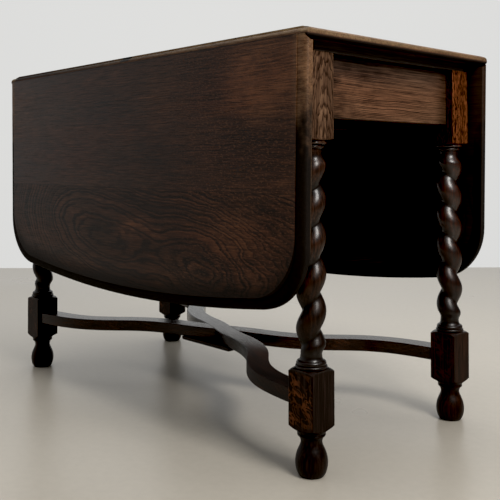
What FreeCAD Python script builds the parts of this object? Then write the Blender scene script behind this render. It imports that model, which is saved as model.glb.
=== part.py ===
import FreeCAD, Part
import os, math

V = FreeCAD.Vector
os.makedirs("parts", exist_ok=True)

# ---------------------------------------------------------------- dimensions
# Oak drop-leaf table, leaves hanging.  Millimetres, Z up, origin on the floor
# at the middle of the table.  X runs along the leaves, Y across them.

TOP_Z = 750.0          # upper surface above the floor
BOARD_T = 19.0         # thickness of the top and of each leaf
TOP_HALF_L = 527.0     # half length of the top (X)

# rule joint between the top and a leaf
AXIS_Y = 263.5         # hinge pin from the centre plane
RULE_R = 10.0          # radius of the ovolo on the top
RULE_FILLET = 4.0      # square fillet above the ovolo
RULE_GAP = 0.6         # clearance between ovolo and cove
AXIS_Z = TOP_Z - RULE_FILLET - RULE_R
UNDER = TOP_Z - BOARD_T            # underside of the top
BELOW = AXIS_Z - UNDER             # pin height above the underside

# leaf outline, measured on the hanging leaf
LEAF_LOW_Z = 250.0     # lowest point of the bowed lower edge
LEAF_BOW_R = 3200.0    # radius of that edge
LEAF_CORNER_R = 115.0  # rounded lower corners
LEAF_END_X = 520.5     # half length at the start of the corner
LEAF_END_Z = 385.0

# thumbnail moulding worked on the show face of leaves and top ends
THUMB_W = 20.0
THUMB_D = 8.0
THUMB_STEP = 1.2
EDGE_ROUND = 5.0       # rounding of the lower arris

# legs
LEG_X = 474.5          # leg centres
LEG_Y = 209.8
BLOCK = 56.0           # side of the square blocks
LOW_BLOCK = (84.4, 174.5)
UP_BLOCK_Z = 565.5
LEG_TOP_Z = 713.7
ARRIS = 1.6            # worn corners of the square blocks
TWIST_Z = (202.0, 545.0)
TWIST_PITCH = 62.0
TWIST_OUT = 26.0       # outer radius of the strand
TWIST_ROOT = 15.0      # radius at the bottom of the groove
NECK_LOW = 18.6
NECK_UP = 18.4

# under-frame
RAIL_Z = (604.0, 711.0)
RAIL_T = 20.0
END_RECESS = 16.0      # end rail set back from the block face
SIDE_RECESS = 10.0
TENON_T = 10.0
TENON_L = 25.0
PIVOT_RAIL = (55.0, 22.0)      # half width, thickness

# serpentine stretchers
STR_TOP = 143.2
STR_T = 25.5
STR_W = 44.0
STR_CURVE = [(0, 0), (60, 24), (120, 41), (180, 67), (220, 95), (260, 133),
             (300, 165), (340, 185.5), (400, 202), (455, 210)]
PAD = (83.0, 55.0, 9.0)

# sub-frame of bearers screwed under the top
BEAR_Z = (714.0, UNDER)
BEAR_OUT_X = 500.0
BEAR_W = 45.0
BEAR_HALF_Y = 228.0
SIDE_BEAR_W = 38.0

# pivot
BOLT_R = 6.0
BOLT_FIT = 0.08

# hinges: back flaps let in flush
HINGE_X = (-390.0, 0.0, 390.0)
HINGE_HALF = 30.0
KNUCKLE_R = 4.0
KNUCKLE_MID = 10.0
PIN_R = 1.6
PIN_FIT = 0.05
WING_T = 2.2
WING_TOP = 32.0
WING_LEAF = 46.0

X1, Y1, Z1 = V(1, 0, 0), V(0, 1, 0), V(0, 0, 1)
O = V(0, 0, 0)
HALF_BLOCK = BLOCK / 2.0


# ---------------------------------------------------------------- helpers
def box(x0, x1, y0, y1, z0, z1):
    return Part.makeBox(x1 - x0, y1 - y0, z1 - z0, V(x0, y0, z0))


def cyl(r, p, d, h):
    return Part.makeCylinder(r, h, p, d)


def poly(pts):
    return Part.makePolygon([V(*p) for p in pts] + [V(*pts[0])])


def one(shape):
    """single clean solid"""
    shape = shape.removeSplitter()
    s = shape.Solids
    if len(s) != 1:
        raise RuntimeError("expected one solid, got %d" % len(s))
    return s[0]


def turned(shape):
    """half turn about Z: the back of the table gives the front"""
    s = shape.copy()
    s.rotate(O, Z1, 180)
    return s


def export(name, shape):
    if isinstance(shape, (list, tuple)):
        shape = Part.makeCompound(list(shape))
    shape.exportStep("parts/%s.step" % name)


# wood screw with a flat head, head flush at p, driven along d
def screw(p, d, length, head=4.0, shank=1.9):
    cone = Part.makeCone(head, shank, head - shank, p, d)
    body = cyl(shank, p + d * (head - shank), d, length - (head - shank) - 3)
    tip = Part.makeCone(shank, 0.5, 3, p + d * (length - 3), d)
    return one(cone.fuse([body, tip]))


# ---------------------------------------------------------------- legs
def turned_profile(parts):
    """solid of revolution about Z from edges that run upwards in the XZ plane"""
    wire = Part.Wire(parts)
    a = wire.OrderedVertexes[0].Point
    b = wire.OrderedVertexes[-1].Point
    close = [Part.makeLine(V(0, 0, a.z), a), Part.makeLine(b, V(0, 0, b.z)),
             Part.makeLine(V(0, 0, b.z), V(0, 0, a.z))]
    w = Part.Wire(Part.__sortEdges__(parts + close))
    return Part.Face(w).revolve(O, Z1, 360)


def line(a, b):
    return Part.makeLine(V(a[0], 0, a[1]), V(b[0], 0, b[1]))


def arc(a, m, b):
    return Part.Arc(V(a[0], 0, a[1]), V(m[0], 0, m[1]), V(b[0], 0, b[1])).toShape()


def spl(pts, t0=None, t1=None):
    c = Part.BSplineCurve()
    kw = {}
    if t0:
        kw = dict(InitialTangent=V(t0[0], 0, t0[1]), FinalTangent=V(t1[0], 0, t1[1]))
    c.interpolate([V(p[0], 0, p[1]) for p in pts], **kw)
    return c.toShape()


CORNER = 39.8      # beyond the corner of a block


def leg_low():
    foot = [(20.6, 0.0), (23.6, 4.0), (26.7, 12.5), (27.9, 23.0), (26.3, 35.0),
            (22.2, 46.0), (19.0, 53.0), (18.3, 57.0), (18.9, 61.0), (20.4, 64.5), (21.6, 66.4)]
    e = [spl(foot),
         line((21.6, 66.4), (22.6, 66.8)),
         arc((22.6, 66.8), (24.2, 69.4), (22.9, 72.0)),
         line((22.9, 72.0), (24.2, 72.6)),
         spl([(24.2, 72.6), (25.6, 75.6), (29.6, 78.8), (35.2, 81.6), (CORNER, LOW_BLOCK[0])]),
         line((CORNER, LOW_BLOCK[0]), (CORNER, LOW_BLOCK[1])),
         spl([(CORNER, LOW_BLOCK[1]), (34.5, 177.6), (29.5, 179.6), (26.0, 180.4)]),
         line((26.0, 180.4), (26.0, 180.9)),
         arc((26.0, 180.9), (27.6, 183.4), (26.0, 185.9)),
         line((26.0, 185.9), (24.9, 186.4)),
         arc((24.9, 186.4), (25.4, 190.8), (22.2, 193.8)),
         line((22.2, 193.8), (21.4, 194.0)),
         spl([(21.4, 194.0), (19.9, 196.0), (18.9, 198.4), (NECK_LOW, 200.8)]),
         line((NECK_LOW, 200.8), (NECK_LOW, TWIST_Z[0]))]
    return turned_profile(e)


def leg_up():
    e = [line((NECK_UP, TWIST_Z[1]), (NECK_UP, 549.6)),
         line((NECK_UP, 549.6), (20.8, 551.2)),
         arc((20.8, 551.2), (23.0, 554.0), (20.8, 556.8)),
         line((20.8, 556.8), (23.8, 557.4)),
         arc((23.8, 557.4), (27.0, 560.2), (23.8, 563.0)),
         line((23.8, 563.0), (24.6, 564.0)),
         line((24.6, 564.0), (26.0, UP_BLOCK_Z)),
         line((26.0, UP_BLOCK_Z), (33.0, UP_BLOCK_Z + 0.4)),
         spl([(33.0, UP_BLOCK_Z + 0.4), (37.0, UP_BLOCK_Z + 1.1), (CORNER, UP_BLOCK_Z + 2.2)]),
         line((CORNER, UP_BLOCK_Z + 2.2), (CORNER, LEG_TOP_Z))]
    return turned_profile(e)


def smooth(t):
    t = max(0.0, min(1.0, t))
    return t * t * (3 - 2 * t)


def twist_radius(phi, z):
    """radius of the single barley twist; phi is the angle from the crest"""
    eps = 0.13
    s = (math.sqrt(math.cos(phi / 2) ** 2 + eps * eps) - eps) / (math.sqrt(1 + eps * eps) - eps)
    lo, hi = TWIST_Z
    k = smooth((z - lo - 1.0) / 20.0) * smooth((hi - 1.0 - z) / 20.0)
    end = NECK_LOW - 0.3 if z < (lo + hi) / 2 else NECK_UP - 0.3
    return end + k * (TWIST_ROOT + (TWIST_OUT - TWIST_ROOT) * s - end)


def twist(hand, phase):
    lo, hi = TWIST_Z[0] - 3.0, TWIST_Z[1] + 3.0
    nz, nt, deg = 150, 36, 3
    poles = []
    for i in range(nz):
        z = lo + (hi - lo) * i / (nz - 1)
        crest = math.radians(phase) + hand * 2 * math.pi * z / TWIST_PITCH
        row = []
        for j in range(nt):
            a = 2 * math.pi * j / nt
            r = twist_radius(a - crest, z)
            row.append(V(r * math.cos(a), r * math.sin(a), z))
        poles.append(row)
    uk = nz - deg + 1
    s = Part.BSplineSurface()
    s.buildFromPolesMultsKnots(poles, [deg + 1] + [1] * (uk - 2) + [deg + 1], [1] * (nt + 1),
                               [float(i) for i in range(uk)], [float(j) for j in range(nt + 1)],
                               False, True, deg, deg)
    side = s.toShape()
    n = side.normalAt(*side.Surface.parameter(V(30, 0, (lo + hi) / 2)))
    if n.x < 0:
        side.reverse()
    caps = []
    for e in side.Edges:
        if abs(e.Vertexes[0].Z - e.Vertexes[-1].Z) < 1e-6:
            f = Part.Face(Part.Wire([e]))
            up = e.Vertexes[0].Z > (lo + hi) / 2
            if (f.normalAt(0, 0).z > 0) != up:
                f.reverse()
            caps.append(f)
    shell = Part.makeShell([side] + caps)
    shell.sewShape()
    sol = Part.makeSolid(shell)
    if not sol.isValid():
        raise RuntimeError("twist is not a valid solid")
    return sol


LOW = leg_low()
UP = leg_up()
PRISM = box(-HALF_BLOCK, HALF_BLOCK, -HALF_BLOCK, HALF_BLOCK, -1, 760)
PRISM = PRISM.makeFillet(ARRIS, [e for e in PRISM.Edges if e.BoundBox.ZLength > 700])
LOW = LOW.common(PRISM)
UP = UP.common(PRISM)

# rail sections; sx, sy = signs of the corner the leg stands in
END_OUT = LEG_X + HALF_BLOCK - END_RECESS
SIDE_OUT = LEG_Y + HALF_BLOCK - SIDE_RECESS
IN_X = LEG_X - HALF_BLOCK
IN_Y = LEG_Y - HALF_BLOCK
TZ0, TZ1 = RAIL_Z[0] + 12, RAIL_Z[1] - 14
STR_Z0 = STR_TOP - STR_T
STEN = (13.0, 7.0, 22.0)     # stretcher tenon: half width, half thickness, length
STR_END_Y = 209.3


def span(s, a, b):
    return (a, b) if s > 0 else (-b, -a)


def mortises(sx, sy):
    xm = END_OUT - RAIL_T / 2
    ym = SIDE_OUT - RAIL_T / 2
    x0, x1 = span(sx, xm - TENON_T / 2, xm + TENON_T / 2)
    y0, y1 = span(sy, IN_Y - 1, IN_Y + TENON_L)
    m = [box(x0, x1, y0, y1, TZ0, TZ1)]
    x0, x1 = span(sx, IN_X - 1, IN_X + TENON_L)
    y0, y1 = span(sy, ym - TENON_T / 2, ym + TENON_T / 2)
    m.append(box(x0, x1, y0, y1, TZ0, TZ1))
    x0, x1 = span(sx, IN_X - 1, IN_X + STEN[2])
    y0, y1 = span(sy, STR_END_Y - STEN[0], STR_END_Y + STEN[0])
    zc = STR_Z0 + STR_T / 2
    m.append(box(x0, x1, y0, y1, zc - STEN[1], zc + STEN[1]))
    return m


LEGS = {"leg_front_right": (1, -1, 1, 234.8), "leg_back_right": (1, 1, -1, 140.2),
        "leg_front_left": (-1, -1, -1, 297.0), "leg_back_left": (-1, 1, 1, 39.0)}
for name, (sx, sy, hand, phase) in LEGS.items():
    leg = LOW.fuse([UP, twist(hand, phase)])
    leg.translate(V(sx * LEG_X, sy * LEG_Y, 0))
    export(name, one(leg.cut(Part.makeCompound(mortises(sx, sy)))))

# ---------------------------------------------------------------- rails
ztop, zbot = RAIL_Z[1], RAIL_Z[0]


def soften(b, r, test):
    return b.makeFillet(r, [e for e in b.Edges if test(e.BoundBox)])


def end_rail():
    b = box(END_OUT - RAIL_T, END_OUT, -IN_Y, IN_Y, zbot, ztop)
    b = soften(b, 1.5, lambda k: k.YLength > 100 and (k.ZMax < zbot + 1 or k.XMin > END_OUT - 1))
    xm = END_OUT - RAIL_T / 2
    t = box(xm - TENON_T / 2, xm + TENON_T / 2, -IN_Y - TENON_L, IN_Y + TENON_L, TZ0, TZ1)
    return one(b.fuse(t))


def side_rail():
    b = box(-IN_X, IN_X, SIDE_OUT - RAIL_T, SIDE_OUT, zbot, ztop)
    b = soften(b, 1.5, lambda k: k.XLength > 100 and (k.ZMax < zbot + 1 or k.YMin > SIDE_OUT - 1))
    ym = SIDE_OUT - RAIL_T / 2
    t = box(-IN_X - TENON_L, IN_X + TENON_L, ym - TENON_T / 2, ym + TENON_T / 2, TZ0, TZ1)
    m = box(-40, 40, SIDE_OUT - RAIL_T - 1, SIDE_OUT - RAIL_T + 12, ztop - 17, ztop - 5)
    return one(b.fuse(t).cut(m))


def pivot_rail():
    hw, t = PIVOT_RAIL
    y = SIDE_OUT - RAIL_T
    b = box(-hw, hw, -y, y, ztop - t, ztop)
    b = b.fuse(box(-40, 40, -y - 12, y + 12, ztop - 17, ztop - 5))
    return one(b.cut(cyl(BOLT_R + BOLT_FIT, V(0, 0, ztop - t - 1), Z1, t + 2)))


er, sr = end_rail(), side_rail()
export("end_rail_right", er)
export("end_rail_left", turned(er))
export("side_rail_back", sr)
export("side_rail_front", turned(sr))
export("pivot_rail", pivot_rail())

# ---------------------------------------------------------------- stretchers
pts = STR_CURVE
full = [(-x, -y) for x, y in reversed(pts[1:])] + pts
mid = Part.BSplineCurve()
mid.interpolate([V(x, y, 0) for x, y in full])


def edge_curve(side):
    n = 60
    out = []
    a, b = mid.FirstParameter, mid.LastParameter
    for i in range(n + 1):
        t = a + (b - a) * i / n
        p = mid.value(t)
        d = mid.tangent(t)[0]
        out.append(p + V(-d.y, d.x, 0) * (side * STR_W / 2))
    c = Part.BSplineCurve()
    c.interpolate(out)
    return c.toShape(), out[0], out[-1]


def stretcher_plan():
    e1, a1, b1 = edge_curve(1)
    e2, a2, b2 = edge_curve(-1)
    w = Part.Wire(Part.__sortEdges__([e1, Part.makeLine(b1, b2), e2, Part.makeLine(a2, a1)]))
    return Part.Face(w)


plan_b = stretcher_plan()                       # back right to front left
plan_a = plan_b.mirror(O, Y1)                   # front right to back left


def board(plan, z0, z1):
    f = plan.copy()
    f.translate(V(0, 0, z0))
    return f.extrude(V(0, 0, z1 - z0))


def stretcher(plan, sy, z_lap0, z_lap1, other):
    s = board(plan, STR_Z0, STR_TOP)
    s = soften(s, 1.8, lambda k: k.ZLength < 1 and k.XLength > 300)
    s = s.common(box(-IN_X, IN_X, -300, 300, 0, 300))
    s = s.cut(board(other, z_lap0, z_lap1))
    zc = STR_Z0 + STR_T / 2
    for k in (1, -1):
        x0, x1 = span(k, IN_X - 6, IN_X + STEN[2])
        y0, y1 = span(k * sy, STR_END_Y - STEN[0], STR_END_Y + STEN[0])
        s = s.fuse(box(x0, x1, y0, y1, zc - STEN[1], zc + STEN[1]))
    return s


LAP = STR_Z0 + STR_T / 2
PAD_PTS = [(45, 18), (45, -18), (-45, 18), (-45, -18)]
pad_z = STR_Z0 - PAD[2]
pad_screws = [screw(V(x, y, pad_z), Z1, 20.0, 3.6, 1.8) for x, y in PAD_PTS]
pad_c = Part.makeCompound(pad_screws)
str_a = one(stretcher(plan_a, -1, STR_Z0 - 1, LAP, plan_b).cut(pad_c))
str_b = one(stretcher(plan_b, 1, LAP, STR_TOP + 1, plan_a).cut(pad_c))
export("stretcher_front_right_to_back_left", str_a)
export("stretcher_back_right_to_front_left", str_b)
pad = box(-PAD[0], PAD[0], -PAD[1], PAD[1], pad_z, STR_Z0)
pad = pad.makeFillet(5.0, [e for e in pad.Edges if abs(e.BoundBox.ZMax - pad_z) < 1e-6])
export("stretcher_pad", one(pad.cut(pad_c)))
export("stretcher_pad_screws", pad_screws)

# ---------------------------------------------------------------- hinges
# drawn for the back of the table with the leaf raised; u outwards from the pin


def at(u, v):
    return AXIS_Y + u, AXIS_Z + v


def ubox(x0, x1, u0, u1, v0, v1):
    return box(x0, x1, AXIS_Y + u0, AXIS_Y + u1, AXIS_Z + v0, AXIS_Z + v1)


def top_wing(x):
    h, m = HINGE_HALF, KNUCKLE_MID + 0.3
    w = ubox(x - h, x + h, -WING_TOP, -7.6, -BELOW, -BELOW + WING_T)
    for a, b in ((x - h, x - m), (x + m, x + h)):
        w = w.fuse([ubox(a, b, -8.0, 0.0, -BELOW, -BELOW + WING_T),
                    cyl(KNUCKLE_R, V(a, *at(0, 0)), X1, b - a)])
    return w.cut(cyl(PIN_R, V(x - h - 1, *at(0, 0)), X1, 2 * h + 2))


def leaf_wing(x):
    h, m = HINGE_HALF, KNUCKLE_MID
    wall = RULE_R + RULE_GAP
    w = ubox(x - h, x + h, wall, WING_LEAF, -BELOW, -BELOW + WING_T)
    w = w.fuse([ubox(x - m, x + m, 0.0, wall + 1.0, -BELOW, -BELOW + WING_T),
                cyl(KNUCKLE_R, V(x - m, *at(0, 0)), X1, 2 * m)])
    return w.cut(cyl(PIN_R + PIN_FIT, V(x - m - 1, *at(0, 0)), X1, 2 * m + 2))


def pin(x):
    return cyl(PIN_R, V(x - HINGE_HALF, *at(0, 0)), X1, 2 * HINGE_HALF)


def wing_screws(x, us):
    out = []
    for dx, u in us:
        out.append(screw(V(x + dx, AXIS_Y + u, UNDER), Z1, 14.0, 3.3, 1.6))
    return out


TOP_US = [(-20.0, -15.0), (20.0, -15.0), (0.0, -25.0)]
LEAF_US = [(-20.0, 20.0), (20.0, 20.0), (0.0, 37.0)]


def knuckle_room(x):
    h, m = HINGE_HALF + 0.4, KNUCKLE_MID + 0.6
    r = [cyl(KNUCKLE_R + 0.5, V(x - h, *at(0, 0)), X1, 2 * h),
         ubox(x - h, x + h, -KNUCKLE_R - 0.5, KNUCKLE_R + 0.5, -BELOW - 1, 0),
         cyl(7.5, V(x - m, *at(0, 0)), X1, 2 * m),
         ubox(x - m, x + m, -7.5, 12.0, -BELOW - 1, -2.4)]
    return r


def hang(shape):
    s = shape.copy()
    s.rotate(V(0, AXIS_Y, AXIS_Z), X1, -90)
    return s


# ---------------------------------------------------------------- leaf
def leaf_outline():
    """wire in the XY plane of the raised leaf, from one end of the hinge line
    round the outer edge to the other end; and the corner data"""
    bow_c = (0.0, LEAF_LOW_Z + LEAF_BOW_R)
    p0, p1 = (TOP_HALF_L, AXIS_Z), (LEAF_END_X, LEAF_END_Z)
    dx, dz = p1[0] - p0[0], p1[1] - p0[1]
    n = math.hypot(dx, dz)
    dx, dz = dx / n, dz / n
    nx, nz = dz, -dx                       # towards the middle of the leaf
    if nx > 0:
        nx, nz = -nx, -nz
    r = LEAF_CORNER_R
    ox, oz = p0[0] + nx * r - bow_c[0], p0[1] + nz * r - bow_c[1]
    b = ox * dx + oz * dz
    c = ox * ox + oz * oz - (LEAF_BOW_R - r) ** 2
    t = -b + math.sqrt(b * b - c)
    cx, cz = p0[0] + nx * r + dx * t, p0[1] + nz * r + dz * t
    ta = (cx - nx * r, cz - nz * r)
    k = LEAF_BOW_R / (LEAF_BOW_R - r)
    tb = (bow_c[0] + (cx - bow_c[0]) * k, bow_c[1] + (cz - bow_c[1]) * k)
    ma = ((ta[0] - cx) + (tb[0] - cx), (ta[1] - cz) + (tb[1] - cz))
    ml = math.hypot(*ma)
    tm = (cx + ma[0] / ml * r, cz + ma[1] / ml * r)
    ext = 30.0
    start = (p0[0] - dx * ext, p0[1] - dz * ext)

    def P(q, s=1):
        return V(s * q[0], AXIS_Y + AXIS_Z - q[1], TOP_Z)
    low = V(0, AXIS_Y + AXIS_Z - LEAF_LOW_Z, TOP_Z)
    edges = [Part.makeLine(P(start), P(ta)),
             Part.Arc(P(ta), P(tm), P(tb)).toShape(),
             Part.Arc(P(tb), low, P(tb, -1)).toShape(),
             Part.Arc(P(tb, -1), P(tm, -1), P(ta, -1)).toShape(),
             Part.makeLine(P(ta, -1), P(start, -1))]
    return edges, P(start), P(start, -1), (dx, dz)


def thumb_edges(to3):
    """closed wire of the wood removed by the moulding, placed by to3(a, z):
    a runs in from the edge, z up from the show face"""
    w, d, s = THUMB_W, THUMB_D, THUMB_STEP
    nose = []
    for i in range(0, 9):
        t = math.pi / 2 * i / 8
        nose.append(to3(w - w * math.sin(t), -s - (d - s) * (1 - math.cos(t))))
    c = Part.BSplineCurve()
    c.interpolate(nose)
    return Part.Wire([Part.makeLine(to3(w, 4.0), to3(w, -s)), c.toShape(),
                      Part.makeLine(nose[-1], to3(-6.0, -d)),
                      Part.makeLine(to3(-6.0, -d), to3(-6.0, 4.0)),
                      Part.makeLine(to3(-6.0, 4.0), to3(w, 4.0))])


def leaf_raised():
    r = RULE_R + RULE_GAP
    far = AXIS_Z - LEAF_LOW_Z + 20
    a = math.acos(RULE_GAP / r)
    y = lambda u, v: V(-600, *at(u, v))
    am = a / 2
    sec = [Part.makeLine(y(RULE_GAP, RULE_R + RULE_FILLET), y(far, RULE_R + RULE_FILLET)),
           Part.makeLine(y(far, RULE_R + RULE_FILLET), y(far, -BELOW)),
           Part.makeLine(y(far, -BELOW), y(r, -BELOW)),
           Part.makeLine(y(r, -BELOW), y(r, 0)),
           Part.Arc(y(r, 0), y(r * math.cos(am), r * math.sin(am)),
                    y(r * math.cos(a), r * math.sin(a))).toShape(),
           Part.makeLine(y(r * math.cos(a), r * math.sin(a)), y(RULE_GAP, RULE_R + RULE_FILLET))]
    slab = Part.Face(Part.Wire(sec)).extrude(V(1200, 0, 0))
    edges, s0, s1, (dx, dz) = leaf_outline()
    outline = Part.Wire(edges + [Part.makeLine(s1, s0)])
    prism = Part.Face(outline)
    prism.translate(V(0, 0, 5))
    prism = prism.extrude(V(0, 0, -40))
    leaf = slab.common(prism)
    # inner arris
    z = UNDER
    low = [e for e in leaf.Edges if abs(e.BoundBox.ZMin - z) < 1e-4 and abs(e.BoundBox.ZMax - z) < 1e-4
           and e.BoundBox.YMax > AXIS_Y + r + 1]
    leaf = leaf.makeFillet(2.5, low)
    # moulding
    path = Part.Wire(edges)
    ux, uy = dx, -dz               # path direction at its start, in XY
    ix, iy = -uy, ux               # inwards normal
    if ix > 0:
        ix, iy = -ix, -iy

    def to3(aa, zz):
        return V(s0.x + ix * aa, s0.y + iy * aa, TOP_Z + zz)
    prof = thumb_edges(to3)
    mk = Part.BRepOffsetAPI.MakePipeShell(path)
    mk.setBiNormalMode(Z1)
    mk.setTransitionMode(1)
    mk.add(prof)
    mk.build()
    mk.makeSolid()
    cutter = mk.shape()
    if cutter.Volume < 0:
        cutter.reverse()
    return leaf.cut(cutter)


leaf = leaf_raised()
back_leaf_wings = {x: leaf_wing(x) for x in HINGE_X}
leaf_screws = []
for x in HINGE_X:
    leaf_screws += wing_screws(x, LEAF_US)
tools = [ubox(x - HINGE_HALF, x + HINGE_HALF, 8.0, WING_LEAF, -BELOW - 1, -BELOW + WING_T) for x in HINGE_X]
leaf = one(leaf.cut(Part.makeCompound(tools)).cut(Part.makeCompound(leaf_screws)))
leaf = hang(leaf)
leaf_sc = hang(Part.makeCompound(leaf_screws))
export("leaf_back", leaf)
export("leaf_front", turned(leaf))
export("leaf_back_hinge_screws", leaf_sc)
export("leaf_front_hinge_screws", turned(leaf_sc))

# ---------------------------------------------------------------- top
def half_section(s):
    y = lambda u, v: V(-TOP_HALF_L, s * (AXIS_Y + u), AXIS_Z + v)
    a = -math.asin(BELOW / RULE_R)
    am = (math.pi / 2 + a) / 2
    q = lambda t: y(RULE_R * math.cos(t), RULE_R * math.sin(t))
    return y, q, a, am


def table_top():
    y1, q1, a, am = half_section(1)
    y2, q2, _, _ = half_section(-1)
    e = [Part.makeLine(y2(0, RULE_R + RULE_FILLET), y1(0, RULE_R + RULE_FILLET)),
         Part.makeLine(y1(0, RULE_R + RULE_FILLET), y1(0, RULE_R)),
         Part.Arc(y1(0, RULE_R), q1(am), q1(a)).toShape(),
         Part.makeLine(q1(a), q2(a)),
         Part.Arc(q2(a), q2(am), y2(0, RULE_R)).toShape(),
         Part.makeLine(y2(0, RULE_R), y2(0, RULE_R + RULE_FILLET))]
    b = Part.Face(Part.Wire(e)).extrude(V(2 * TOP_HALF_L, 0, 0))
    for s in (1, -1):
        def to3(aa, zz):
            return V(s * (TOP_HALF_L - aa), -300, TOP_Z + zz)
        b = b.cut(Part.Face(thumb_edges(to3)).extrude(V(0, 600, 0)))
        low = [ed for ed in b.Edges if abs(ed.BoundBox.XMin - s * TOP_HALF_L) < 1e-4
               and abs(ed.BoundBox.XMax - s * TOP_HALF_L) < 1e-4
               and abs(ed.BoundBox.ZMax - UNDER) < 1e-4]
        b = b.makeFillet(EDGE_ROUND, low)
    return b


top = table_top()
back_top_wings = {x: top_wing(x) for x in HINGE_X}
back_pins = {x: pin(x) for x in HINGE_X}
top_screws = []
room = []
for x in HINGE_X:
    top_screws += wing_screws(x, TOP_US)
    room += knuckle_room(x)
    room.append(ubox(x - HINGE_HALF, x + HINGE_HALF, -WING_TOP, 0, -BELOW - 1, -BELOW + WING_T))
top_screws += [turned(s) for s in top_screws]
room += [turned(s) for s in room]

# bearers
bz0, bz1 = BEAR_Z
bx0 = BEAR_OUT_X - BEAR_W
end_b = box(bx0, BEAR_OUT_X, -BEAR_HALF_Y, BEAR_HALF_Y, bz0, bz1)
side_b = box(-bx0, bx0, BEAR_HALF_Y - SIDE_BEAR_W, BEAR_HALF_Y, bz0, bz1)
ph = PIVOT_RAIL[0]
piv_b = box(-ph, ph, -(BEAR_HALF_Y - SIDE_BEAR_W), BEAR_HALF_Y - SIDE_BEAR_W, bz0, bz1)
xe = BEAR_OUT_X - BEAR_W / 2
ys = BEAR_HALF_Y - SIDE_BEAR_W / 2
end_s = [screw(V(xe, y, bz0), Z1, 29.0, 4.2, 2.1) for y in (-195, -70, 70, 195)]
side_s = [screw(V(x, ys, bz0), Z1, 29.0, 4.2, 2.1) for x in (-410, -205, 0, 205, 410)]
piv_s = [screw(V(x, y, bz0), Z1, 29.0, 4.2, 2.1) for x in (-36, 36) for y in (-140, 140)]
bearer_screws = end_s + [turned(s) for s in end_s] + side_s + [turned(s) for s in side_s] + piv_s
head_z = bz1 - 6.0
head_room = cyl(15.0, V(0, 0, head_z), Z1, 6.0)
shank_room = cyl(BOLT_R, V(0, 0, bz0 - 1), Z1, 30.0)
end_c = one(end_b.cut(Part.makeCompound(end_s)))
side_c = one(side_b.cut(Part.makeCompound(side_s)))
piv_c = one(piv_b.cut(Part.makeCompound(piv_s)).cut(head_room.fuse(shank_room)))
export("end_bearer_right", end_c)
export("end_bearer_left", turned(end_c))
export("side_bearer_back", side_c)
export("side_bearer_front", turned(side_c))
export("pivot_bearer", piv_c)
export("bearer_screws", bearer_screws)

top = top.cut(Part.makeCompound(room))
top = one(top.cut(Part.makeCompound(top_screws + bearer_screws)))
export("table_top", top)
export("top_hinge_screws", top_screws)

# ---------------------------------------------------------------- hinge pieces
names = {-390.0: "left", 0.0: "middle", 390.0: "right"}
back_tw = Part.makeCompound(top_screws)
for x in HINGE_X:
    tw = one(back_top_wings[x].cut(back_tw))
    lw = one(hang(back_leaf_wings[x]).cut(leaf_sc))
    pn = back_pins[x]
    export("hinge_top_wing_back_" + names[x], tw)
    export("hinge_leaf_wing_back_" + names[x], lw)
    export("hinge_pin_back_" + names[x], pn)
    export("hinge_top_wing_front_" + names[-x], turned(tw))
    export("hinge_leaf_wing_front_" + names[-x], turned(lw))
    export("hinge_pin_front_" + names[-x], turned(pn))

# ---------------------------------------------------------------- pivot
rail_low = ztop - PIVOT_RAIL[1]
head = cyl(14.0, V(0, 0, head_z), Z1, 5.6)
head = head.makeFillet(2.5, [e for e in head.Edges if abs(e.BoundBox.ZMin - (head_z + 5.6)) < 1e-6])
bolt_end = rail_low - 30.0
shank = cyl(BOLT_R, V(0, 0, bolt_end), Z1, head_z - bolt_end)
shank = shank.makeChamfer(1.2, [e for e in shank.Edges if abs(e.BoundBox.ZMax - bolt_end) < 1e-6])
export("pivot_bolt", one(head.fuse(shank)))


def washer(z, t, r):
    return cyl(r, V(0, 0, z), Z1, t).cut(cyl(BOLT_R + 0.4, V(0, 0, z - 1), Z1, t + 2))


def nut(z, h, af=19.0):
    r = af / math.sqrt(3)
    hexa = Part.Face(poly([(r * math.cos(math.pi / 3 * i), r * math.sin(math.pi / 3 * i), z) for i in range(6)]))
    n = hexa.extrude(V(0, 0, h))
    body = Part.makeCone(r * 0.9, r * 0.9 + 3.0, 3.0, V(0, 0, z)).fuse(cyl(r * 0.9 + 3.0, V(0, 0, z + 3.0), Z1, h - 3.0))
    return n.common(body).cut(cyl(BOLT_R, V(0, 0, z - 1), Z1, h + 2))


export("pivot_thrust_washer", washer(ztop, bz0 - ztop - 0.3, 22.0))
export("pivot_lower_washer", washer(rail_low - 0.3 - 2.5, 2.5, 16.0))
export("pivot_nut", one(nut(rail_low - 0.3 - 2.5 - 10.0, 10.0)))
export("pivot_lock_nut", one(nut(rail_low - 0.3 - 2.5 - 10.0 - 6.0, 6.0)))
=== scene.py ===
import bpy, math
from mathutils import Vector, Matrix

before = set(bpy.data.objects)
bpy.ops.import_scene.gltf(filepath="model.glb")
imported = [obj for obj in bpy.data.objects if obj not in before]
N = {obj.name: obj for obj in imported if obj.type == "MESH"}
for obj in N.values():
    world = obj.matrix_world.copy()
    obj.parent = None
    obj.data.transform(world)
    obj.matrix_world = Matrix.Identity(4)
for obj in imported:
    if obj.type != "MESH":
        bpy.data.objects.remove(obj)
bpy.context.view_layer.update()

scene = bpy.context.scene

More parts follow.
